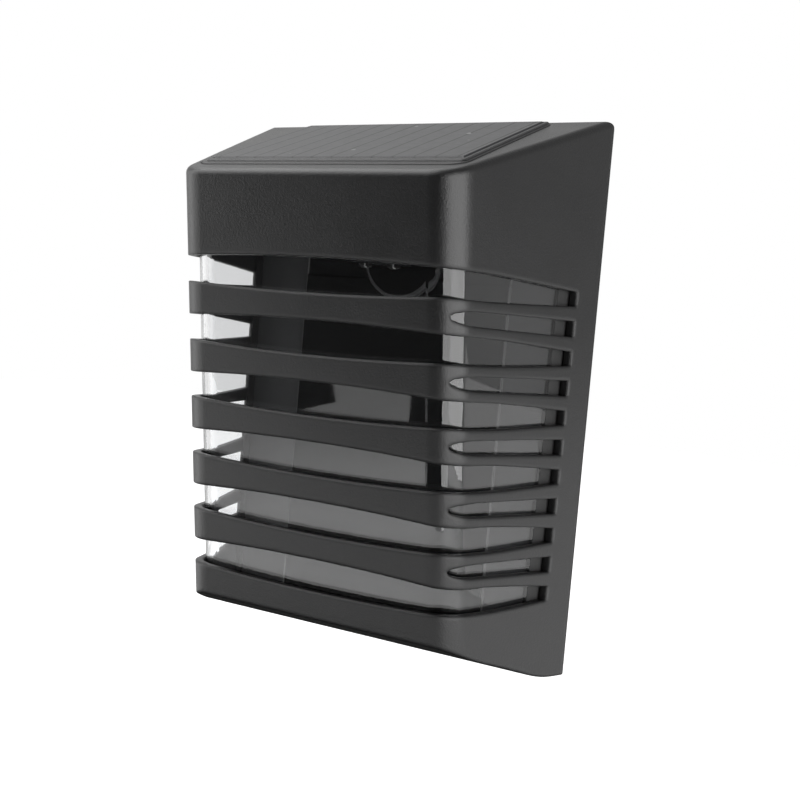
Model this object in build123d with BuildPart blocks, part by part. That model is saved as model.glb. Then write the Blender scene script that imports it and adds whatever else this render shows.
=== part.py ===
"""Solar wall light with a slatted housing, a clear lens and a sloping solar panel.

Millimetres. X runs to the right, Y into the wall and Z up. The origin lies on the wall plane,
at the round entry of the hanging hole. Heights named "above the foot" start at the lowest edge.
"""
import os
from math import atan, cos, sin, tan

from build123d import *

os.makedirs("parts", exist_ok=True)

# Height of the hanging hole's entry above the foot of the light.
HANG = 115.0

# Housing: plan at the wall and at the front, lean of the front, wall thickness.
REAR_HALF = 60.1
FRONT_HALF = 44.3
FRONT_DEPTH = 42.04
FRONT_LEAN = 0.156
CORNER_R = 9.5
WALL = 2.4
TOP_EDGE_R = 2.0
FOOT_EDGE_R = 0.8

# Sloping top: height above the foot at a reference depth, slope and thickness.
TOP_Y = -30.0
TOP_Z = 149.19
TOP_SLOPE = atan(0.386)
TOP_WALL = 3.6

# Foot: outline of the underside from front to wall (depth, height above the foot).
FOOT_LINE = [(-70, 22.6), (-44, 12.7), (-30.5, 7.5), (-23, 5.3), (-16, 3.0), (-9, 1.0), (-2, 0.4)]
FOOT_WALL = 2.3

# Slots: first height, pitch, half heights at the middle, the corner and the wall end.
SLOT_TOP = 109.1
SLOT_PITCH = 16.72
SLOT_COUNT = 6
SLOT_MID = 4.75
SLOT_CORNER = 3.62
SLOT_END = 2.0
SPLIT_TIP = 1.95
SPLIT_END = 2.25
SPLIT_LEFT_BACK = 4.0
SLOT_WALL_Y = -9.4
SLAT_EDGE_R = 0.3

# Solar panel, measured on the slope: the clear cover and the frame round it.
PANEL_MARGIN = 3.5
GLASS_W = 2 * (FRONT_HALF - PANEL_MARGIN)
GLASS_L = 50.0
GLASS_V = 1.4
BEZEL_W = GLASS_W + 4.8
BEZEL_L = GLASS_L + 6.8
BEZEL_V = GLASS_V - 1.9
POCKET = 2.0

# Electronics: height above the foot of the tray's underside, its thickness and the board's underside.
TRAY_Z = TOP_Z - 32.19
TRAY_T = 2.0
BOARD_Z = TRAY_Z + TRAY_T + 4.0
BOARD_T = 1.6

# Lens: distance of its outer and inner faces behind the outside of the housing, depth of its rear edges.
LENS_OUT = WALL + 0.3
LENS_IN = LENS_OUT + 2.0
LENS_TOP = TRAY_Z + 4.0
LENS_BACK = -13.5
LENS_OUT_R = CORNER_R
LENS_IN_R = LENS_OUT_R - 2.0

# Solar cells and the hole for the leads under them.
CELL_COUNT = 12
CELL_PITCH = (GLASS_W - 3.6) / CELL_COUNT
CELL_L = GLASS_L - 5.5
LEAD_V = 5.4
LEAD_Y = TOP_Y + LEAD_V * cos(TOP_SLOPE)

# Back plate.
PLATE_Y = -8.0
PLATE_GAP = 0.35
PLATE_SKIN = 2.0
TAB_X = 25.3
TAB_HALF = 5.0
TAB_GAP = 0.3

# Hanging boss and keyhole.
BOSS_Z = 118.6
BOSS_R = 12.9
HOOK_SKIN = 2.4
ENTRY_R = 4.5
SHANK_R = 2.2
SHANK_RISE = 7.2

# Back screws.
SCREW_X = 46.0
SCREW_Z = TOP_Z - 1.69
SCREW_R = 1.4

# Tray ears and the screws through them.
EAR_X = 24.0
EAR_Z = TRAY_Z + 8.0
EAR_SCREW_R = 1.2

# Board: depth of its middle, its posts and its screws; depth of the LEDs.
BOARD_Y = -22.0
BOARD_POSTS = [(x, BOARD_Y + y) for x in (-19, 19) for y in (-7.0, 6.5)]
BOARD_SCREWS = [BOARD_POSTS[0], BOARD_POSTS[3]]
LED_Y = BOARD_Y

# Battery: depth of its axis, radius, room round it and half length of the holder inside.
BATTERY_Y = BOARD_Y - 20.0
BATTERY_R = 7.2
HOLDER_HALF = 28.9
HOLDER_WALL = 2.1
HOLDER_FLOOR = 1.5
CELL_Z = TRAY_Z + TRAY_T + HOLDER_FLOOR + 0.35 + BATTERY_R

# Switch: middle of its window and its travel.
SWITCH_X = -30.0
SWITCH_Z = EAR_Z + 11.2
SWITCH_TRAVEL = 2.0


def up(height):
    """Height above the foot, turned into the shared frame."""
    return height - HANG


def front_y(height):
    return -(FRONT_DEPTH + FRONT_LEAN * height)


def flare(height):
    return atan((REAR_HALF - FRONT_HALF) / -front_y(height))


def plan_solid(inset, radius, rear):
    """The housing's outside, moved in by an inset and taken back to a rear plane."""
    with BuildPart(mode=Mode.PRIVATE) as solid:
        for height in (-10.0, 175.0):
            angle = flare(height)
            y = front_y(height) + inset
            x = FRONT_HALF - inset * (1 - sin(angle)) / cos(angle)
            far = x + tan(angle) * (rear - y)
            with BuildSketch(Plane.XY.offset(up(height))) as plan:
                with BuildLine():
                    Polyline((-x, y), (x, y), (far, rear), (-far, rear), close=True)
                make_face()
                fillet(plan.vertices().sort_by(Axis.Y)[:2], radius)
        loft(ruled=True)
    return solid.part


def top_plane(offset):
    """Plane of the sloping top, raised square to itself."""
    normal = Vector(0, -sin(TOP_SLOPE), cos(TOP_SLOPE))
    origin = Vector(0, TOP_Y, up(TOP_Z)) + normal * offset
    return Plane(origin=origin, x_dir=(1, 0, 0), z_dir=normal)


def uppermost(builder):
    """The face of a piece on the slope that lies farthest out from the slope."""
    outwards = Axis((0, 0, 0), tuple(top_plane(0).z_dir))
    return builder.faces().sort_by(outwards)[-1]


def foot_block(raise_by):
    """Everything under the foot line, raised by a distance."""
    points = [(y, up(z + raise_by)) for y, z in FOOT_LINE]
    with BuildPart(mode=Mode.PRIVATE) as block:
        with BuildSketch(Plane.YZ):
            with BuildLine():
                Spline(*points, tangents=[(1, -0.38), (1, 0)])
                Polyline(points[-1], (20, points[-1][1]), (20, up(-40)), (-70, up(-40)), points[0])
            make_face()
        extrude(amount=90, both=True)
    return block.part


def top_block(offset):
    """Everything above the sloping top, with the plane moved by an offset."""
    with BuildPart(mode=Mode.PRIVATE) as block:
        with BuildSketch(top_plane(offset)):
            Rectangle(240, 240)
        extrude(amount=120)
    return block.part


def slab(x, y, z, bevel=0.0):
    """A box from its limits, with its front edges bevelled on request; z is given above the foot."""
    with BuildPart(mode=Mode.PRIVATE) as block:
        with Locations(((x[0] + x[1]) / 2, (y[0] + y[1]) / 2, up((z[0] + z[1]) / 2))):
            Box(x[1] - x[0], y[1] - y[0], z[1] - z[0])
        if bevel:
            chamfer(block.faces().sort_by(Axis.Y)[0].edges(), bevel)
    return block.part


def long_slot(height):
    """Cutter of one slot that runs round the front and both sides."""
    face = front_y(height)
    spread = tan(flare(height))
    with BuildPart(mode=Mode.PRIVATE) as cutter:
        front = Plane(origin=(0, face + CORNER_R, up(height)), x_dir=(1, 0, 0), z_dir=(0, -1, 0))
        mid, end = SLOT_MID, SLOT_CORNER
        drop = SLOT_MID - SLOT_CORNER
        corner = FRONT_HALF
        ups = [(-corner, end), (8 - corner, end + 0.21 * drop), (20 - corner, end + 0.66 * drop), (0, mid)]
        ups += [(-x, z) for x, z in reversed(ups[:3])]
        downs = [(x, -z) for x, z in ups]
        with BuildSketch(front):
            with BuildLine():
                Spline(*ups, tangents=[(1, 0), (1, 0)])
                Spline(*downs, tangents=[(1, 0), (1, 0)])
                Polyline((corner, end), (corner + 5, end), (corner + 5, -end), (corner, -end))
                Polyline((-corner, end), (-corner - 5, end), (-corner - 5, -end), (-corner, -end))
            make_face()
        extrude(amount=CORNER_R + 16)
    with BuildPart(mode=Mode.PRIVATE) as wing:
        out = Vector(0.8, -0.6, 0)
        reach = CORNER_R + 2.0
        start = 0.6 * (FRONT_HALF + reach * spread) + 0.8 * (face + reach)
        stop = 0.6 * (REAR_HALF + SLOT_WALL_Y * spread) + 0.8 * SLOT_WALL_Y
        fall = (end - SLOT_END) / (stop - start - 4)
        low = SLOT_END - 4 * fall
        above = [(start, end), (start + 8, end - 4 * fall), (stop + 4, low)]
        below = [(x, -z) for x, z in above]
        side = Plane(origin=Vector(0, 0, up(height)) + out * 40, x_dir=(0.6, 0.8, 0), z_dir=out)
        with BuildSketch(side):
            with BuildLine():
                Spline(*above, tangents=[(1, 0), (1, -fall)])
                Spline(*below, tangents=[(1, 0), (1, fall)])
                Line(above[-1], below[-1])
                Polyline(above[0], (start - 9, end), (start - 9, -end), below[0])
            make_face()
        extrude(amount=40)
        add(slab((-90, 90), (SLOT_WALL_Y, 60), (0, 200)), mode=Mode.SUBTRACT)
    return [cutter.part] + both_sides(wing.part)


def split_slot(height, back=0.0):
    """Cutter of one round-nosed slot that splits a slat on the right side, begun further back if asked."""
    face = front_y(height)
    out = Vector(0.8, -0.6, 0)
    start = 0.6 * FRONT_HALF + 0.8 * (face + 0.9) + back
    stop = 0.6 * REAR_HALF + 0.8 * (SLOT_WALL_Y + 3.0)
    nose = 10.0
    with BuildPart(mode=Mode.PRIVATE) as cutter:
        plane = Plane(origin=Vector(0, 0, up(height)) + out * 40, x_dir=(0.6, 0.8, 0), z_dir=out)
        with BuildSketch(plane):
            with BuildLine():
                EllipticalCenterArc((start + nose, 0), nose, SPLIT_TIP, start_angle=90, arc_size=180)
                Line((start + nose, SPLIT_TIP), (stop, SPLIT_END))
                Line((stop, SPLIT_END), (stop, -SPLIT_END))
                Line((stop, -SPLIT_END), (start + nose, -SPLIT_TIP))
            make_face()
        extrude(amount=40)
        add(slab((-90, 90), (SLOT_WALL_Y, 60), (0, 200)), mode=Mode.SUBTRACT)
    return cutter.part


def outside_gap(point):
    """How far a point lies from the outside of the housing's front, corners and sides."""
    height = point.Z + HANG
    angle = flare(height)
    y = front_y(height)
    dx = abs(point.X) - FRONT_HALF + CORNER_R * (1 - sin(angle)) / cos(angle)
    dy = point.Y - y - CORNER_R
    if dx > 0 and dy < -dx * tan(angle):
        return abs((dx * dx + dy * dy) ** 0.5 - CORNER_R)
    side = (abs(point.X) - FRONT_HALF) * cos(angle) - (point.Y - y) * sin(angle)
    return min(abs(side), abs(y - point.Y))


def slot_rims(builder):
    """Edges where the slots meet the outside of the housing."""
    rims = ShapeList()
    for edge in builder.edges():
        spots = [edge.position_at(t) for t in (0.1, 0.5, 0.9)]
        if any(outside_gap(spot) > 0.12 for spot in spots):
            continue
        box = edge.bounding_box()
        low, high = box.min.Z + HANG, box.max.Z + HANG
        if high > 116 or low < 19:
            continue
        upright = box.size.Z > 0.8 * edge.length
        if upright and spots[1].Y < SLOT_WALL_Y - 0.5:
            continue
        rims.append(edge)
    return rims


def rod(x, height, y, radius, bevel=0.0):
    """A round bar along Y, between two depths, with its front rim bevelled on request."""
    with BuildPart(mode=Mode.PRIVATE) as bar:
        with BuildSketch(Plane(origin=(x, y[0], up(height)), x_dir=(1, 0, 0), z_dir=(0, 1, 0))):
            Circle(radius)
        extrude(amount=y[1] - y[0])
        if bevel:
            chamfer(bar.faces().sort_by(Axis.Y)[0].edges(), bevel)
    return bar.part


def post(x, y, z, radius):
    """A round bar along Z, between two heights above the foot."""
    with BuildPart(mode=Mode.PRIVATE) as bar:
        with BuildSketch(Plane(origin=(x, y, up(z[0])))):
            Circle(radius)
        extrude(amount=z[1] - z[0])
    return bar.part


def lead(points, radius):
    """A wire along a path with rounded bends; heights above the foot."""
    with BuildPart(mode=Mode.PRIVATE) as wire:
        with BuildLine(mode=Mode.PRIVATE) as path:
            FilletPolyline(*[(x, y, up(z)) for x, y, z in points], radius=1.6)
        with BuildSketch(Plane(origin=path.line @ 0, z_dir=path.line % 0)):
            Circle(radius)
        sweep(path=path.line)
    return wire.part


def layer(width, length, v, low, high, radius=0.0):
    """A flat piece lying on the slope, between two distances from the shoulder."""
    with BuildPart(mode=Mode.PRIVATE) as sheet:
        with BuildSketch(top_plane(low)) as shape:
            with Locations((0, v)):
                Rectangle(width, length)
            if radius:
                fillet(shape.vertices(), radius)
        extrude(amount=high - low)
    return sheet.part


def slope_hole(v, radius):
    """A round hole through the top, square to the slope."""
    with BuildPart(mode=Mode.PRIVATE) as hole:
        with BuildSketch(top_plane(-8)):
            with Locations((0, v)):
                Circle(radius)
        extrude(amount=7)
    return hole.part


def both_sides(solid):
    """A solid and its mirror image across the middle."""
    return [solid, mirror(solid, about=Plane.YZ, mode=Mode.PRIVATE)]


def save(builder, name):
    builder.part.label = name
    export_step(builder.part, "parts/" + name + ".step")


with BuildPart() as front_housing:
    add(plan_solid(0, CORNER_R, 0))
    add(top_block(0), mode=Mode.SUBTRACT)
    add(foot_block(0), mode=Mode.SUBTRACT)
    fillet(front_housing.faces().sort_by(Axis.Z)[-1].edges(), TOP_EDGE_R)
    underside = front_housing.faces().filter_by(lambda face: face.normal_at().Z < -0.5)
    foot_rim = [edge for edge in underside.edges() if edge.center().Y < -1]
    fillet(foot_rim, FOOT_EDGE_R)
    with BuildPart(mode=Mode.PRIVATE) as hollow:
        add(plan_solid(WALL, CORNER_R - WALL, 5))
        add(top_block(-TOP_WALL), mode=Mode.SUBTRACT)
        add(foot_block(FOOT_WALL), mode=Mode.SUBTRACT)
    add(hollow.part, mode=Mode.SUBTRACT)
    for step in range(SLOT_COUNT):
        add(long_slot(SLOT_TOP - SLOT_PITCH * step), mode=Mode.SUBTRACT)
    for step in range(SLOT_COUNT - 1):
        height = SLOT_TOP - SLOT_PITCH * (step + 0.5)
        add(split_slot(height), mode=Mode.SUBTRACT)
        add(both_sides(split_slot(height, SPLIT_LEFT_BACK))[1], mode=Mode.SUBTRACT)
    fillet(slot_rims(front_housing), SLAT_EDGE_R)
    # Pocket for the solar panel and the hole for its leads.
    add(layer(BEZEL_W + 0.6, BEZEL_L + 0.6, BEZEL_V, -POCKET, 4, 4.3), mode=Mode.SUBTRACT)
    add(slope_hole(LEAD_V, 4.0), mode=Mode.SUBTRACT)
    # Posts for the back screws.
    add(both_sides(rod(SCREW_X, SCREW_Z, (-20, PLATE_Y), 4.0)))
    add(both_sides(rod(SCREW_X, SCREW_Z, (-18.5, PLATE_Y), SCREW_R + 0.3)), mode=Mode.SUBTRACT)
    # Pads that hold the lens off the slats.
    for low, high in ((LENS_TOP - 3.5, LENS_TOP - 0.5), (14.5, 18.5)):
        with BuildPart(mode=Mode.PRIVATE) as pad:
            add(plan_solid(WALL - 0.4, CORNER_R - WALL, 0))
            add(plan_solid(LENS_OUT, LENS_OUT_R, 5), mode=Mode.SUBTRACT)
            add(slab((18, 28), (-70, -30), (low, high)), mode=Mode.INTERSECT)
        add(both_sides(pad.part))
    # Slots for the two tabs of the back plate.
    reach = TAB_HALF + TAB_GAP
    low, high = PLATE_Y - TAB_GAP, PLATE_Y + PLATE_SKIN + TAB_GAP
    add(both_sides(slab((TAB_X - reach, TAB_X + reach), (low, high), (-5, 4))), mode=Mode.SUBTRACT)
save(front_housing, "front_housing")

with BuildPart() as clear_lens:
    add(plan_solid(LENS_OUT, LENS_OUT_R, LENS_BACK))
    add(plan_solid(LENS_IN, LENS_IN_R, 5), mode=Mode.SUBTRACT)
    add(slab((-90, 90), (-90, 20), (LENS_TOP, 220)), mode=Mode.SUBTRACT)
    add(foot_block(FOOT_WALL + 0.4), mode=Mode.SUBTRACT)
save(clear_lens, "clear_lens")

with BuildPart() as lens_seals:
    add(plan_solid(LENS_OUT + 0.1, LENS_OUT_R, PLATE_Y))
    add(plan_solid(LENS_IN - 0.1, LENS_IN_R, 5), mode=Mode.SUBTRACT)
    add(slab((-90, 90), (LENS_BACK, PLATE_Y), (8, LENS_TOP)), mode=Mode.INTERSECT)
save(lens_seals, "lens_seals")

with BuildPart() as panel_bezel:
    add(layer(BEZEL_W, BEZEL_L, BEZEL_V, -POCKET, 0.15, 4.0))
    add(layer(GLASS_W + 2.8, GLASS_L + 3.6, GLASS_V - 0.6, 0, 0.7, 1.2))
    chamfer(uppermost(panel_bezel).edges(), 0.3)
    add(layer(GLASS_W + 0.4, GLASS_L + 0.4, GLASS_V, -POCKET - 1, 2), mode=Mode.SUBTRACT)
save(panel_bezel, "panel_bezel")

with BuildPart() as panel_seal:
    add(layer(GLASS_W - 1, GLASS_L - 1, GLASS_V, -POCKET, -1.5))
    add(slope_hole(LEAD_V, 4.0), mode=Mode.SUBTRACT)
save(panel_seal, "panel_seal")

with BuildPart() as panel_backing:
    add(layer(GLASS_W, GLASS_L, GLASS_V, -1.5, -0.5))
save(panel_backing, "panel_backing")

with BuildPart() as solar_cells:
    with BuildSketch(top_plane(-0.5)):
        with Locations((0, GLASS_V)):
            with GridLocations(CELL_PITCH, 1, CELL_COUNT, 1):
                Rectangle(CELL_PITCH - 0.3, CELL_L)
    extrude(amount=0.25)
save(solar_cells, "solar_cells")

with BuildPart() as cell_ribbons:
    with BuildSketch(top_plane(-0.5)):
        with Locations((0, GLASS_V - CELL_L / 2 - 1.2), (0, GLASS_V + CELL_L / 2 + 1.2)):
            Rectangle(CELL_PITCH * CELL_COUNT, 1.2)
    extrude(amount=0.25)
save(cell_ribbons, "cell_ribbons")

with BuildPart() as panel_glass:
    add(layer(GLASS_W, GLASS_L, GLASS_V, -0.25, 1.0))
    chamfer(uppermost(panel_glass).edges(), 0.4)
save(panel_glass, "panel_glass")

with BuildPart() as back_plate:
    add(plan_solid(WALL + PLATE_GAP, 1.0, 0))
    add(slab((-90, 90), (PLATE_Y, PLATE_Y + PLATE_SKIN), (-20, 220)), mode=Mode.INTERSECT)
    add(top_block(-TOP_WALL - PLATE_GAP), mode=Mode.SUBTRACT)
    add(foot_block(FOOT_WALL + PLATE_GAP), mode=Mode.SUBTRACT)
    # Raised panel that backs the lamp chamber.
    add(slab((-35, 35), (PLATE_Y - 0.8, PLATE_Y + 0.5), (20, 112), 0.5))
    # Hanging boss with its keyhole.
    add(rod(0, BOSS_Z, (-10.5, 0), BOSS_R, 0.6))
    add(rod(0, BOSS_Z, (-8.6, -HOOK_SKIN), BOSS_R - 2), mode=Mode.SUBTRACT)
    add(rod(0, HANG, (-5, 1), ENTRY_R), mode=Mode.SUBTRACT)
    add(slab((-SHANK_R, SHANK_R), (-5, 1), (HANG, HANG + SHANK_RISE)), mode=Mode.SUBTRACT)
    add(rod(0, HANG + SHANK_RISE, (-5, 1), SHANK_R), mode=Mode.SUBTRACT)
    # Holes for the back screws, bosses for the tray screws and the window of the switch.
    add(both_sides(rod(SCREW_X, SCREW_Z, (-9, -5), SCREW_R + 0.3)), mode=Mode.SUBTRACT)
    add(both_sides(rod(EAR_X, EAR_Z, (PLATE_Y, -3.5), 3.0)))
    add(both_sides(rod(EAR_X, EAR_Z, (-9, -4.3), EAR_SCREW_R + 0.3)), mode=Mode.SUBTRACT)
    window = slab((SWITCH_X - 2.4, SWITCH_X + 2.4), (-9, -5), (SWITCH_Z - 1.3, SWITCH_Z + 1.3))
    add(window, mode=Mode.SUBTRACT)
    # Tabs that hook into the foot of the housing.
    add(both_sides(slab((TAB_X - TAB_HALF, TAB_X + TAB_HALF), (PLATE_Y, PLATE_Y + PLATE_SKIN), (1.2, 5))))
save(back_plate, "back_plate")

with BuildPart() as back_screws:
    add(both_sides(rod(SCREW_X, SCREW_Z, (-17, PLATE_Y + PLATE_SKIN), SCREW_R)))
    add(both_sides(rod(SCREW_X, SCREW_Z, (PLATE_Y + PLATE_SKIN, -3.8), 2.8)))
    for wide, tall in ((1.8, 0.4), (0.4, 1.8)):
        notch = slab((SCREW_X - wide, SCREW_X + wide), (-4.8, -3), (SCREW_Z - tall, SCREW_Z + tall))
        add(both_sides(notch), mode=Mode.SUBTRACT)
save(back_screws, "back_screws")

with BuildPart() as electronics_tray:
    add(plan_solid(LENS_IN + 0.5, LENS_IN_R, PLATE_Y))
    add(slab((-90, 90), (-90, 20), (TRAY_Z, TRAY_Z + TRAY_T)), mode=Mode.INTERSECT)
    add(slab((-16, 16), (-11.5, 1), (TRAY_Z - 10, TRAY_Z + 20)), mode=Mode.SUBTRACT)
    add(both_sides(slab((EAR_X - 6, EAR_X + 6), (-10, PLATE_Y), (TRAY_Z, EAR_Z + 6))))
    add(both_sides(rod(EAR_X, EAR_Z, (-11, -7), EAR_SCREW_R + 0.3)), mode=Mode.SUBTRACT)
    for x, y in BOARD_POSTS:
        add(post(x, y, (TRAY_Z + 1, BOARD_Z), 2.3))
        add(post(x, y, (TRAY_Z + TRAY_T + 0.5, BOARD_Z + 1), 1.3), mode=Mode.SUBTRACT)
    add(post(0, LED_Y, (TRAY_Z - 5, TRAY_Z + 5), 2.2), mode=Mode.SUBTRACT)
save(electronics_tray, "electronics_tray")

with BuildPart() as tray_screws:
    add(both_sides(rod(EAR_X, EAR_Z, (-10, -5), EAR_SCREW_R)))
    add(both_sides(rod(EAR_X, EAR_Z, (-11.6, -10), 2.3)))
    notch = slab((EAR_X - 1.7, EAR_X + 1.7), (-12, -10.9), (EAR_Z - 0.35, EAR_Z + 0.35))
    add(both_sides(notch), mode=Mode.SUBTRACT)
save(tray_screws, "tray_screws")

with BuildPart() as battery_holder:
    across = HOLDER_HALF + HOLDER_WALL
    floor = TRAY_Z + TRAY_T + HOLDER_FLOOR
    deep = BATTERY_R + 0.6
    front, rear = BATTERY_Y - deep, BATTERY_Y + deep
    add(slab((-across, across), (front - 1.2, rear + 1.2), (TRAY_Z + TRAY_T, floor + 9.5)))
    add(slab((-HOLDER_HALF, HOLDER_HALF), (front, rear), (floor, floor + 17)), mode=Mode.SUBTRACT)
save(battery_holder, "battery_holder")

with BuildPart() as battery_cell:
    with BuildSketch(Plane(origin=(5.9 - HOLDER_HALF, BATTERY_Y, up(CELL_Z)), z_dir=(1, 0, 0))):
        Circle(BATTERY_R)
    extrude(amount=50.2)
    fillet(battery_cell.edges(), 0.6)
    with BuildSketch(Plane(origin=(HOLDER_HALF - 1.9, BATTERY_Y, up(CELL_Z)), z_dir=(1, 0, 0))):
        Circle(2.7)
    extrude(amount=1.5)
save(battery_cell, "battery_cell")

with BuildPart() as spring_contact:
    add(slab((-HOLDER_HALF, 0.4 - HOLDER_HALF), (BATTERY_Y - 4, BATTERY_Y + 4), (CELL_Z - 7, CELL_Z + 6)))
    foot = (0.3 - HOLDER_HALF, BATTERY_Y, up(CELL_Z))
    with BuildLine(mode=Mode.PRIVATE) as coil:
        Helix(pitch=1.4, height=5.0, radius=3.0, center=foot, direction=(1, 0, 0))
    with BuildSketch(Plane(origin=coil.line @ 0, z_dir=coil.line % 0)):
        Circle(0.35)
    sweep(path=coil.line, is_frenet=True)
save(spring_contact, "spring_contact")

with BuildPart() as tab_contact:
    add(slab((HOLDER_HALF - 0.4, HOLDER_HALF), (BATTERY_Y - 4, BATTERY_Y + 4), (CELL_Z - 7, CELL_Z + 6)))
save(tab_contact, "tab_contact")

with BuildPart() as control_board:
    add(slab((-22, 22), (BOARD_Y - 9.5, BOARD_Y + 9.5), (BOARD_Z, BOARD_Z + BOARD_T)))
    for x, y in BOARD_SCREWS:
        add(post(x, y, (BOARD_Z - 1, BOARD_Z + 3), 1.3), mode=Mode.SUBTRACT)
save(control_board, "control_board")

with BuildPart() as board_screws:
    for x, y in BOARD_SCREWS:
        add(post(x, y, (TRAY_Z + TRAY_T + 1, BOARD_Z + BOARD_T), 1.0))
        add(post(x, y, (BOARD_Z + BOARD_T, BOARD_Z + BOARD_T + 1.3), 1.9))
save(board_screws, "board_screws")

with BuildPart() as controller_chip:
    face = BOARD_Z + BOARD_T
    add(slab((-10, -5), (BOARD_Y - 2, BOARD_Y + 2), (face + 0.2, face + 1.7)))
    for step in range(4):
        x = -9.4 + 1.27 * step
        add(slab((x - 0.2, x + 0.2), (BOARD_Y - 3, BOARD_Y + 3), (face, face + 0.4)))
save(controller_chip, "controller_chip")

with BuildPart() as capacitor:
    add(post(10, BOARD_Y + 4.5, (BOARD_Z + BOARD_T, BOARD_Z + 9), 2.5))
    fillet(capacitor.edges().sort_by(Axis.Z)[-1], 0.4)
save(capacitor, "capacitor")

with BuildPart() as inductor:
    for low, high, radius in ((BOARD_T, 2.4, 3.0), (2.4, 6.0, 2.2), (6.0, 6.8, 3.0)):
        add(post(14, BOARD_Y - 4, (BOARD_Z + low, BOARD_Z + high), radius))
save(inductor, "inductor")

with BuildPart() as led_board:
    add(slab((-8, 8), (LED_Y - 5, LED_Y + 5), (TRAY_Z - 1.6, TRAY_Z)))
save(led_board, "led_board")

with BuildPart() as led_emitters:
    add(both_sides(slab((3.4, 6.4), (LED_Y - 1.5, LED_Y + 1.5), (TRAY_Z - 2.6, TRAY_Z - 1.6))))
    add(both_sides(post(4.9, LED_Y, (TRAY_Z - 2.9, TRAY_Z - 2.6), 1.2)))
save(led_emitters, "led_emitters")

with BuildPart() as led_leads:
    add(both_sides(post(0.9, LED_Y, (TRAY_Z, BOARD_Z), 0.5)))
save(led_leads, "led_leads")

with BuildPart() as solar_leads:
    add(both_sides(post(2.0, LEAD_Y, (BOARD_Z + BOARD_T, TOP_Z + 10), 0.6)))
    add(top_block(-1.5), mode=Mode.SUBTRACT)
save(solar_leads, "solar_leads")

with BuildPart() as battery_leads:
    out, high = HOLDER_HALF + 2.6, CELL_Z + 3.95
    route = [(HOLDER_HALF, BATTERY_Y + 2, high), (out, BATTERY_Y + 2, high), (out, BOARD_Y - 6, high)]
    route += [(20.6, BOARD_Y - 3, high - 2), (20.6, BOARD_Y - 3, BOARD_Z + BOARD_T)]
    add(both_sides(lead(route, 0.55)))
save(battery_leads, "battery_leads")

with BuildPart() as switch_body:
    add(slab((SWITCH_X - 4.5, SWITCH_X + 4.5), (-11.6, PLATE_Y), (SWITCH_Z - 2.2, SWITCH_Z + 2.2)))
    bed = slab((SWITCH_X - 2.6, SWITCH_X + 2.6), (-9.5, -7), (SWITCH_Z - 1.25, SWITCH_Z + 1.25))
    add(bed, mode=Mode.SUBTRACT)
save(switch_body, "switch_body")

with BuildPart() as switch_knob:
    left = SWITCH_X - 1.1 - SWITCH_TRAVEL / 2
    add(slab((left, left + 2.2), (-9.3, -3.6), (SWITCH_Z - 0.95, SWITCH_Z + 0.95)))
    fillet(switch_knob.faces().sort_by(Axis.Y)[-1].edges(), 0.25)
save(switch_knob, "switch_knob")

with BuildPart() as switch_leads:
    for x, y, drop in ((SWITCH_X - 2, BOARD_Y + 6, 5.2), (SWITCH_X + 2, BOARD_Y + 2.5, 4.2)):
        route = [(x, -11.6, SWITCH_Z), (x, y, SWITCH_Z), (-19.5, y, SWITCH_Z - drop)]
        add(lead(route + [(-19.5, y, BOARD_Z + BOARD_T)], 0.5))
save(switch_leads, "switch_leads")
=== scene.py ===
# %% [markdown]
# # A solar wall light, dressed for its portrait
#
# The CAD model already has every form of this light: the slatted housing, the clear lens
# behind the slats, the sloping panel and all that is sealed inside. What it lacks is a surface.
# This lesson loads the CAD model as a fixed frame, stands a camera where the photographer stood,
# and then gives each piece the finish that the real one has.

from math import cos, pi, radians, sin

import bpy
from mathutils import Matrix, Vector


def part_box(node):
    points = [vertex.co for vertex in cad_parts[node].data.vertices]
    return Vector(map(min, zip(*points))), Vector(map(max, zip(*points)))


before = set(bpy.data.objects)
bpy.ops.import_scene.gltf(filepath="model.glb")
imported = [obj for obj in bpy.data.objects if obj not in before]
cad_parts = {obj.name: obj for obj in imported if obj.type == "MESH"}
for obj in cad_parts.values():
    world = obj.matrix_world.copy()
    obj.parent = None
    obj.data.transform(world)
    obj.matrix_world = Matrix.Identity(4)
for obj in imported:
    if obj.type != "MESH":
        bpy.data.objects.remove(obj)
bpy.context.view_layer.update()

# %% [markdown]
# ## The camera
#
# Five numbers place a camera: how far round it stands, how high, how much it is tilted, how far
# away it is and how long its lens is. They were fitted to the light's own edges, so the outline
# of the render falls on the outline of the real light. The tilt (roll) matters here: the
# photographer leaned the camera by almost five degrees.

# %% Place the camera
AZIMUTH, ELEVATION, ROLL = radians(30.2204), radians(3.3697), radians(4.9003)
CAMERA_AT = Vector((0.18193, -0.31637, -0.01889))
LENS_MM, SENSOR_MM = 52.499, 36.0

back = Vector((sin(AZIMUTH) * cos(ELEVATION), -cos(AZIMUTH) * cos(ELEVATION), sin(ELEVATION)))
level_right = Vector((cos(AZIMUTH), sin(AZIMUTH), 0))
level_up = back.cross(level_right)
right = level_right * cos(ROLL) + level_up * sin(ROLL)
up = level_up * cos(ROLL) - level_right * sin(ROLL)

camera = bpy.data.objects.new("camera", bpy.data.cameras.new("camera"))
camera.data.lens, camera.data.sensor_width = LENS_MM, SENSOR_MM
camera.data.clip_start = 0.01
camera.matrix_world = Matrix.Translation(CAMERA_AT) @ Matrix((right, up, back)).transposed().to_4x4()
bpy.context.scene.collection.objects.link(camera)
bpy.context.scene.camera = camera
bpy.context.scene.view_settings.view_transform = "Standard"
print("camera looks along", tuple(round(-v, 3) for v in back))

# %% [markdown]
# ## Shader maths as Python
#
# A material is a graph of nodes. Drawing it by hand gets slow, so one small class wraps an output
# socket: adding or multiplying two of them adds a Math node, and `node` makes any other kind from
# its type, its settings and what goes into its sockets. The rest of the lesson then reads like
# ordinary arithmetic.


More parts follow.
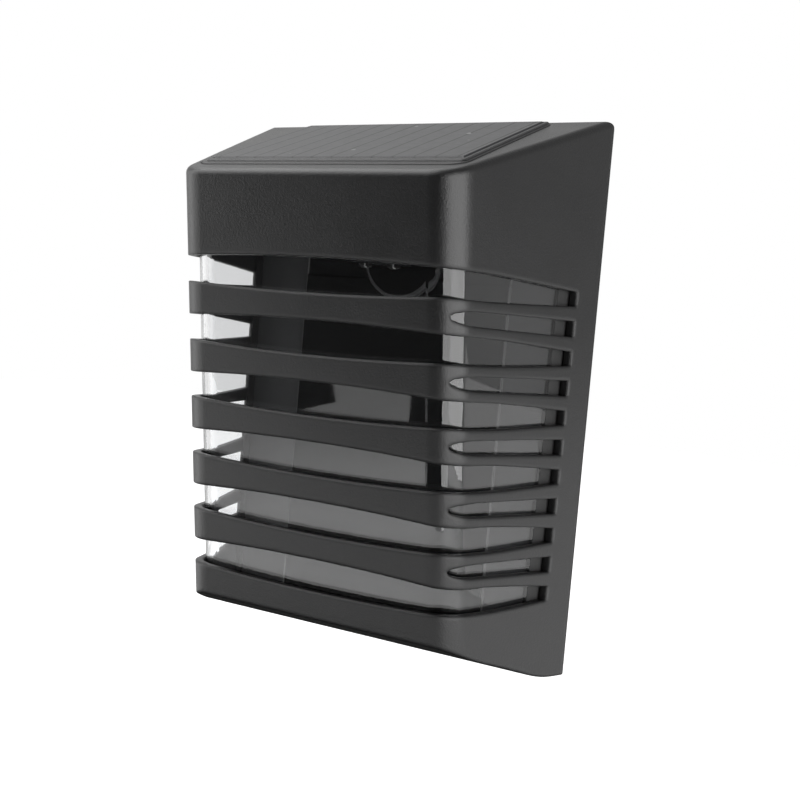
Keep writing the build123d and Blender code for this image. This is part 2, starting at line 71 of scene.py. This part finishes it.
# %% The socket class
class Flow:
    """One output socket in a node tree. Arithmetic on it adds Math nodes."""

    def __init__(self, tree, socket=None):
        self.tree, self.socket = tree, socket

    def node(self, kind, settings=None, sockets=None, out=0):
        made = self.tree.nodes.new(kind)
        for name, value in (settings or {}).items():
            setattr(made, name, value)
        for name, value in (sockets or {}).items():
            if isinstance(value, Flow):
                self.tree.links.new(value.socket, made.inputs[name])
            else:
                made.inputs[name].default_value = value
        return Flow(self.tree, made.outputs[out] if made.outputs else None)

    def maths(self, operation, *others):
        """A Math node on this value and any others, in that order."""
        return self.node("ShaderNodeMath", {"operation": operation}, dict(enumerate((self, *others))))

    def __add__(self, other):
        return self.maths("ADD", other)

    def __mul__(self, other):
        return self.maths("MULTIPLY", other)

    def __sub__(self, other):
        return self.maths("SUBTRACT", other)

    def __rsub__(self, other):
        return self * -1 + other

    __radd__, __rmul__ = __add__, __mul__

    def step(self, low, high):
        """0 below low, 1 above high, with a smooth rise between."""
        limits = {"Value": self, "From Min": low, "From Max": high}
        return self.node("ShaderNodeMapRange", {"interpolation_type": "SMOOTHSTEP"}, limits)

    def between(self, low, high):
        """A value of 0 to 1 spread over a range."""
        return self * (high - low) + low

    def blend(self, first, second):
        """First colour where this is 0, second where it is 1."""
        ends = [(*end, 1) if isinstance(end, tuple) else end for end in (first, second)]
        sockets = {"Factor": self, 6: ends[0], 7: ends[1]}
        return self.node("ShaderNodeMix", {"data_type": "RGBA"}, sockets, out=2)

    def dot(self, x, y, z):
        """Length of a vector along a direction."""
        sockets = {0: self, 1: (x, y, z)}
        return self.node("ShaderNodeVectorMath", {"operation": "DOT_PRODUCT"}, sockets, out="Value")


print("Flow is ready")

# %% [markdown]
# ## A blank finish
#
# Every finish starts from the same three things: an empty material, its place on the object and
# a Principled shader. The CAD nodes all sit at the origin, so object coordinates are simply metres
# in the shared frame, and a noise of scale 2000 has grains of half a millimetre.


# %% Starting a finish
def blank(name):
    material = bpy.data.materials.new(name)
    material.use_nodes = True
    material.node_tree.nodes.clear()
    return material, Flow(material.node_tree)


def place(flow):
    return flow.node("ShaderNodeTexCoord", out="Object")


def noise(flow, where, scale, detail=2.0, roughness=0.5):
    sockets = {"Vector": where, "Scale": scale, "Detail": detail, "Roughness": roughness}
    return flow.node("ShaderNodeTexNoise", None, sockets)


def bump(flow, height, strength, distance, normal=None):
    sockets = {"Height": height, "Strength": strength, "Distance": distance}
    return flow.node("ShaderNodeBump", None, {**sockets, "Normal": normal} if normal else sockets)


def surface(flow, **sockets):
    """A Principled shader; socket names use _ for a space."""
    return flow.node("ShaderNodeBsdfPrincipled", None, {k.replace("_", " "): v for k, v in sockets.items()})


def output(flow, shader):
    flow.node("ShaderNodeOutputMaterial", None, {"Surface": shader})


def wear(material, *names):
    """Gives a finish to CAD nodes."""
    for name in names:
        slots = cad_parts[name].data.materials
        slots.clear()
        slots.append(material)


print("finishes start from object coordinates in metres")

# %% [markdown]
# ## Moulded black plastic
#
# The housing is ABS from a mould whose walls were spark-eroded, which leaves a fine matte grain. Two
# sizes of noise make that grain as bump, a slow noise shifts the gloss a little where hands and
# the mould have polished it, and a rare pale speck is the dust that black plastic always shows. The
# mould's core was left smooth, so low faces that look up, the floor under the lens, have no grain. No
# moulded edge is quite sharp either, so a Bevel node rounds the shading along each edge.


# %% Black plastic
EDGE_ROUND = 0.0016
DUST_GREY = (0.2, 0.2, 0.195)


def moulded(name, colour, gloss, grain, dust):
    material, flow = blank(name)
    where = place(flow)
    coarse = noise(flow, where, 1700, 2.0, 0.6)
    fine = noise(flow, where, 5200, 1.0)
    slow = noise(flow, where, 60, 3.0)
    specks = noise(flow, where, 1500, 0.0).step(0.83, 0.88) * dust
    shade = (slow * 0.5 + coarse * 0.5).step(0.3, 0.7)
    pale = tuple(1.35 * c for c in colour)
    body = shade.blend(colour, pale)
    body = specks.blend(body, DUST_GREY)
    looks_up = flow.node("ShaderNodeTexCoord", out="Normal").dot(0, 0, 1).step(0.3, 0.6)
    floor = looks_up * (1 - where.dot(0, 0, 1).step(0.0, 0.01))
    rounded = flow.node("ShaderNodeBevel", {"samples": 6}, {"Radius": EDGE_ROUND})
    skin = bump(flow, (coarse * 0.7 + fine * 0.3) * (1 - floor), grain, 0.0001, rounded)
    rough = (slow * 0.6 + fine * 0.4).between(gloss - 0.06, gloss + 0.08)
    output(flow, surface(flow, Base_Color=body, Roughness=rough, Normal=skin, IOR=1.5))
    return material


housing_black = moulded("housing_black", (0.0055, 0.0055, 0.0057), 0.33, 0.9, 0.06)
bezel_black = moulded("bezel_black", (0.014, 0.014, 0.0145), 0.40, 0.25, 0.3)
tray_black = moulded("tray_black", (0.016, 0.016, 0.017), 0.38, 0.1, 0.0)
wear(housing_black, "front_housing")
wear(bezel_black, "panel_bezel")
wear(tray_black, "electronics_tray", "battery_holder", "switch_knob", "switch_body")
print("black plastic on the housing, bezel, tray and switch")

# %% [markdown]
# ## The back plate
#
# The back plate has two sides. Its outside is plain matte plastic. Its inside, which shows through the
# lens, is polished and black over the raised panel, with a greyer margin at both sides. Paler lines along
# the sides of the raised panel and round the edge of the round boss are painted highlights, the glint of
# light on those edges. Masks for the depth, the distance from the middle and the distance from the boss
# tell these zones apart.

# %% Back plate
RAISED_HALF, INSIDE_Y = 0.035, -0.0078
BOSS_Z, RIM_IN, RIM_OUT = 0.0036, 0.0116, 0.0131
PANEL_BLACK, MARGIN_GREY = (0.005, 0.005, 0.0052), (0.06, 0.06, 0.061)
# The two paler greys on this line are painted highlights: the glint of light along the raised panel's sides
# and round the boss's edge.
PAINTED_SIDE_GLINT, PAINTED_RIM_GLINT = (0.16, 0.16, 0.16), (0.08, 0.08, 0.081)
material, flow = blank("plate_black")
where = place(flow)
inside = 1 - where.dot(0, 1, 0).step(INSIDE_Y, INSIDE_Y + 0.0002)
side, rise = where.dot(1, 0, 0).maths("ABSOLUTE"), where.dot(0, 0, 1) - BOSS_Z
margin = inside * side.step(RAISED_HALF, RAISED_HALF + 0.0003)
# Masks for the painted highlights: a thin band along each side of the raised panel, and a ring round the
# boss.
side_glint = inside * (1 - (side - RAISED_HALF).maths("ABSOLUTE").step(0.0002, 0.0004))
reach = (side * side + rise * rise).maths("SQRT")
rim_glint = inside * reach.step(RIM_IN, RIM_IN + 0.0002) * (1 - reach.step(RIM_OUT, RIM_OUT + 0.0002))
mottle = noise(flow, where, 900, 2.0)
body = margin.blend(PANEL_BLACK, MARGIN_GREY)
body = rim_glint.blend(side_glint.blend(body, PAINTED_SIDE_GLINT), PAINTED_RIM_GLINT)
rough = 0.45 - inside * 0.2 + mottle * (1 - inside) * 0.1
output(flow, surface(flow, Base_Color=body, Roughness=rough))
wear(material, "back_plate")
print("back plate: margin beyond", RAISED_HALF, "and rim to", RIM_OUT)

# %% [markdown]
# ## The clear lens
#
# The lens is polished clear plastic, two millimetres thick. It is real glass to the renderer, so
# its corners bend what is behind them, and both of its faces mirror the room a little. Lamps have to
# reach what is behind it, so for shadow rays it gives way to a Transparent shader.


# %% Clear plastic
def clear(name, tint, gloss, ior):
    material, flow = blank(name)
    where = place(flow)
    smear = noise(flow, where, 45, 4.0, 0.6).step(0.45, 0.75)
    wave = noise(flow, where, 120, 1.0)
    rough = smear.between(gloss, gloss + 0.02)
    glass = surface(flow, Base_Color=(*tint, 1), Roughness=rough, Transmission_Weight=1.0, IOR=ior,
                    Normal=bump(flow, wave, 0.03, 0.0002))
    open_way = flow.node("ShaderNodeBsdfTransparent", None, {"Color": (*tint, 1)})
    lamp_ray = flow.node("ShaderNodeLightPath", out="Is Shadow Ray")
    output(flow, flow.node("ShaderNodeMixShader", None, {"Fac": lamp_ray, 1: glass, 2: open_way}))
    return material


lens_clear = clear("lens_clear", (0.97, 0.975, 0.98), 0.008, 1.58)
wear(lens_clear, "clear_lens")
print("clear plastic on the lens")

# %% [markdown]
# ## The solar panel
#
# The panel is a laminate: strips of dark silicon, crossed by hair-fine silver fingers, cast into
# resin. Seen along its slope it is mostly a soft mirror, so the strips show as faint
# lines up the slope. The cover carries the picture of the strips on its own skin, and the silicon
# under it has the same lines, so both look right when the panel is taken apart.

# %% Panel laminate and cells
CELL_COUNT, CELL_GAP = 12, 0.0003
FINGERS = 6
cells_low, cells_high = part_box("solar_cells")
cell_pitch = (cells_high[0] - cells_low[0] + CELL_GAP) / CELL_COUNT


def stripes(where, pitch, width):
    """Lines up the slope, one at each whole pitch from the middle."""
    offset = (where.dot(1 / pitch, 0, 0) + 0.5).maths("FRACT") - 0.5
    return 1 - offset.maths("ABSOLUTE").step(0.3 * width / pitch, width / pitch)


def panel(name, silicon, silver, gloss, polish):
    material, flow = blank(name)
    where = place(flow)
    gaps = stripes(where, cell_pitch, 0.0004)
    fingers = stripes(where, cell_pitch / FINGERS, 0.00016)
    crystal = noise(flow, where, 160, 4.0, 0.65)
    ripple = noise(flow, where, 420, 3.0, 0.6)
    flecks = noise(flow, where, 330, 0.0).step(0.86, 0.88)
    body = crystal.blend(silicon, tuple(1.8 * c for c in silicon))
    body = (fingers * 0.35).blend(body, silver)
    body = gaps.blend(body, (0.006, 0.006, 0.007))
    body = (flecks * polish).blend(body, (0.6, 0.6, 0.6))
    rough = ripple.between(gloss - 0.05, gloss + 0.05) + gaps * 0.15
    skin = bump(flow, ripple * 0.6 - gaps * 0.8, 0.12, 0.00008)
    output(flow, surface(flow, Base_Color=body, Roughness=rough, Normal=skin, IOR=1.5))
    return material


panel_cover = panel("panel_cover", (0.007, 0.0075, 0.009), (0.05, 0.05, 0.053), 0.35, 0.5)
cell_silicon = panel("cell_silicon", (0.016, 0.018, 0.026), (0.4, 0.4, 0.41), 0.30, 0.0)
wear(panel_cover, "panel_glass")
wear(cell_silicon, "solar_cells")
print("panel of", CELL_COUNT, "strips,", round(1000 * cell_pitch, 2), "mm apart")

# %% [markdown]
# ## What is sealed inside
#
# Little of the inside shows, but a model is turned over, opened and looked through, so each piece
# gets its own plain finish: plated steel, solder mask, sleeves, ferrite and foam.


# %% Inside finishes
def plain(name, colour, other, scale, gloss, metal=0.0, grain=0.1):
    material, flow = blank(name)
    where = place(flow)
    mottle = noise(flow, where, scale, 3.0, 0.6)
    body = mottle.step(0.3, 0.7).blend(colour, other)
    rough = mottle.between(gloss - 0.08, gloss + 0.08)
    skin = bump(flow, mottle, grain, 0.0001)
    output(flow, surface(flow, Base_Color=body, Roughness=rough, Metallic=metal, Normal=skin))
    return material


INSIDE = {
    "seal_rubber": (((0.016, 0.016, 0.016), (0.024, 0.024, 0.024), 1500, 0.6), ["lens_seals"]),
    "panel_foam": (((0.6, 0.6, 0.58), (0.75, 0.75, 0.73), 1500, 0.8, 0.0, 0.5), ["panel_seal"]),
    "panel_board": (((0.02, 0.022, 0.026), (0.04, 0.042, 0.046), 800, 0.4), ["panel_backing"]),
    "tinned": (((0.6, 0.6, 0.58), (0.75, 0.75, 0.73), 900, 0.35, 1.0),
               ["cell_ribbons", "spring_contact", "tab_contact"]),
    "zinc_screw": (((0.5, 0.5, 0.5), (0.68, 0.68, 0.67), 700, 0.35, 1.0),
                   ["back_screws", "tray_screws", "board_screws"]),
    "battery_sleeve": (((0.05, 0.16, 0.08), (0.06, 0.2, 0.1), 120, 0.3), ["battery_cell"]),
    "solder_mask": (((0.01, 0.11, 0.04), (0.02, 0.16, 0.06), 600, 0.35), ["control_board"]),
    "lamp_mask": (((0.02, 0.02, 0.021), (0.035, 0.035, 0.037), 600, 0.35), ["led_board"]),
    "epoxy_black": (((0.012, 0.012, 0.012), (0.03, 0.03, 0.03), 2500, 0.5), ["controller_chip"]),
    "can_metal": (((0.4, 0.41, 0.43), (0.55, 0.56, 0.58), 1200, 0.3, 1.0), ["capacitor"]),
    "ferrite": (((0.03, 0.03, 0.032), (0.07, 0.07, 0.075), 3000, 0.6), ["inductor"]),
    "wire_red": (((0.3, 0.02, 0.02), (0.42, 0.03, 0.03), 500, 0.4), ["solar_leads", "battery_leads"]),
    "wire_black": (((0.02, 0.02, 0.02), (0.04, 0.04, 0.04), 500, 0.4), ["led_leads", "switch_leads"]),
}
for name, (values, nodes) in INSIDE.items():
    wear(plain(name, *values), *nodes)
print("inside finishes:", len(INSIDE))

# %% [markdown]
# ## The two lamps
#
# Each LED is a small dark body with one plated terminal, and by day only the terminal catches
# light. The body is far too small to need its own mesh for that, so a narrow band across it, measured
# from its middle, turns from dark resin to silver.

# %% LED bodies
LED_X, TERMINAL_X, TERMINAL_HALF = 4.9, 0.8, 0.2
material, flow = blank("led_body")
across = (place(flow).dot(1000, 0, 0) - TERMINAL_X).maths("ABSOLUTE") - LED_X
terminal = 1 - across.maths("ABSOLUTE").step(TERMINAL_HALF, TERMINAL_HALF + 0.1)
resin = terminal.blend((0.02, 0.02, 0.019), (0.55, 0.55, 0.54))
output(flow, surface(flow, Base_Color=resin, Roughness=0.35))
wear(material, "led_emitters")
print("LED terminals", 2 * TERMINAL_HALF, "mm wide")

# %% [markdown]
# ## The studio
#
# The light was photographed in front of white paper, over a white table, in a dim room with one big
# window-like softbox on the right. The dim side is what makes the upper lens look black and the
# white table is what makes the lower lens look grey, so the studio is built the same way. Rays that
# come straight from the camera, or through the lens, see a white backdrop.


# %% Rays that see the backdrop
def ray(flow, kind):
    return flow.node("ShaderNodeLightPath", out=kind)


def straight(flow):
    """1 for rays that come from the camera, or through the lens without another bounce."""
    bounced = (ray(flow, "Diffuse Depth") + ray(flow, "Glossy Depth")).step(0.2, 0.8)
    through = ray(flow, "Is Transmission Ray") * (1 - bounced)
    return ray(flow, "Is Camera Ray").maths("MAXIMUM", through)


print("straight rays see the backdrop")


# %% Places round the light
def aside(azimuth, away, height, centre_y=0.0):
    """A place round the light: degrees from the front, distance and height in metres."""
    turn = radians(azimuth)
    return (away * sin(turn), centre_y - away * cos(turn), height)


def sheet(name, corners, material):
    """A flat piece of the studio; it isn't part of the light."""
    mesh = bpy.data.meshes.new(name)
    mesh.from_pydata(corners, [], [range(len(corners))])
    mesh.materials.append(material)
    thing = bpy.data.objects.new(name, mesh)
    bpy.context.scene.collection.objects.link(thing)
    return thing


print("places are given as degrees, distance and height")

# %% [markdown]
# ## The table
#
# The table ends just in front of the light, and its edge isn't straight. The lens mirrors that edge:
# a few steps in its reach, at given angles round the light, put the grey and black zones of the
# middle slots where the real lens has them.

# %% Table
TABLE_Z, TABLE_FAR = -0.30, 3.0
TABLE_EDGE = [(-100, TABLE_FAR), (-80, 0.77), (-35.3, 0.77), (-35.3, 0.84), (-29.9, 0.84), (-29.9, 0.61),
              (50, 0.61), (58, TABLE_FAR)]
NEAR_GLOW, FAR_GLOW = 0.7, 1.0
MIRROR_NEAR, MIRROR_FAR = 0.88, 0.32
edge = [aside(azimuth, reach, TABLE_Z, -0.06) for azimuth, reach in TABLE_EDGE]
edge += [(TABLE_FAR, TABLE_FAR, TABLE_Z), (-TABLE_FAR, TABLE_FAR, TABLE_Z)]
material, flow = blank("table_white")
away = flow.node("ShaderNodeVectorMath", {"operation": "LENGTH"}, {0: place(flow)}, out="Value")
to_camera = straight(flow) * away.step(0.4, 1.0).between(NEAR_GLOW, FAR_GLOW)
to_lens = ray(flow, "Is Glossy Ray") * away.step(0.62, 0.85).between(MIRROR_NEAR, MIRROR_FAR)
shine = to_camera.maths("MAXIMUM", to_lens)
glow = flow.node("ShaderNodeEmission", None, {"Color": (1, 1, 1, 1), "Strength": shine})
paper = surface(flow, Base_Color=(0.62, 0.62, 0.62, 1), Roughness=0.9)
output(flow, flow.node("ShaderNodeAddShader", None, {0: glow, 1: paper}))
sheet("table", edge, material)
print("table at", TABLE_Z)

# %% [markdown]
# ## A black card under the light
#
# The underside of the real light mirrors nothing bright, so its lower edges end in a dark line. As in
# a real studio, a black card below the light does that. Only reflections see it: the camera, the shadows
# and the light that bounces off the table stay as they were.

# %% Black card
CARD_Z, CARD_X, CARD_Y = -0.25, (-0.35, 0.15), (-0.22, 0.6)
material, flow = blank("card_black")
output(flow, surface(flow, Base_Color=(0.01, 0.01, 0.01, 1), Roughness=0.9))
corners = [(CARD_X[0], CARD_Y[0]), (CARD_X[1], CARD_Y[0]), (CARD_X[1], CARD_Y[1]), (CARD_X[0], CARD_Y[1])]
card = sheet("black_card", [(x, y, CARD_Z) for x, y in corners], material)
card.visible_camera = card.visible_diffuse = card.visible_transmission = card.visible_shadow = False
print("black card", round(CARD_Z - TABLE_Z, 3), "m above the table")

# %% [markdown]
# ## The room
#
# Two soft walls, a bright one behind on the left and a duller one behind on the right, shade the panel
# and the right side. The rest of the room is nearly black, and the ceiling is faint.

# %% Room
DIM, LEFT, RIGHT, OVERHEAD = 0.02, 0.76, 0.5, 0.35
world = bpy.data.worlds.new("room")
world.use_nodes = True
world.node_tree.nodes.clear()
bpy.context.scene.world = world
flow = Flow(world.node_tree)
aim = flow.node("ShaderNodeTexCoord", out="Generated")
low_down = 1 - aim.dot(0, 0, 1).step(0.15, 0.75) * 0.4
left_wall = aim.dot(-0.8, 0.6, 0).step(0.25, 0.85) * LEFT
right_wall = aim.dot(0.7, 0.7, 0).step(0.25, 0.9) * RIGHT
room = left_wall.maths("MAXIMUM", right_wall) * low_down + DIM + aim.dot(0, 0, 1).step(0.4, 1.0) * OVERHEAD
seen = straight(flow)
level = room * (1 - seen) + seen
sky = flow.node("ShaderNodeBackground", None, {"Color": (1, 1, 1, 1), "Strength": level})
flow.node("ShaderNodeOutputWorld", None, {"Surface": sky})
print("room: dim", DIM, "left", LEFT, "right", RIGHT, "overhead", OVERHEAD)

# %% [markdown]
# ## Softboxes
#
# The key draws the bright strip down the right corner. The left card lights the fascia from the left,
# the two high ones draw the line along the top edge, and the low one lifts the right side's foot.


# %% Softboxes
def softbox(name, at, wide, tall, radiance):
    """A rectangular lamp that faces the light; the camera doesn't see it."""
    lamp = bpy.data.lights.new(name, "AREA")
    lamp.shape, lamp.size, lamp.size_y = "RECTANGLE", wide, tall
    lamp.energy = radiance * pi * wide * tall
    thing = bpy.data.objects.new(name, lamp)
    thing.location = at
    thing.rotation_euler = (-Vector(at)).to_track_quat("-Z", "Y").to_euler()
    thing.visible_camera = False
    thing.visible_transmission = False
    bpy.context.scene.collection.objects.link(thing)
    return thing


softbox("key", aside(62.5, 0.9, -0.1), 1.19, 0.8, 4.2)
softbox("left_card", aside(-64, 0.5, 0.0), 0.4, 0.5, 1.8)
softbox("high_left", aside(-50, 0.6, 0.55), 0.7, 0.6, 2.6)
softbox("overhead", (-0.35, 0.0, 0.75), 0.8, 0.6, 2.0)
softbox("low_right", aside(125, 0.8, -0.24), 0.7, 0.3, 0.8)
print("softboxes: key, left card, high left, overhead and low right")
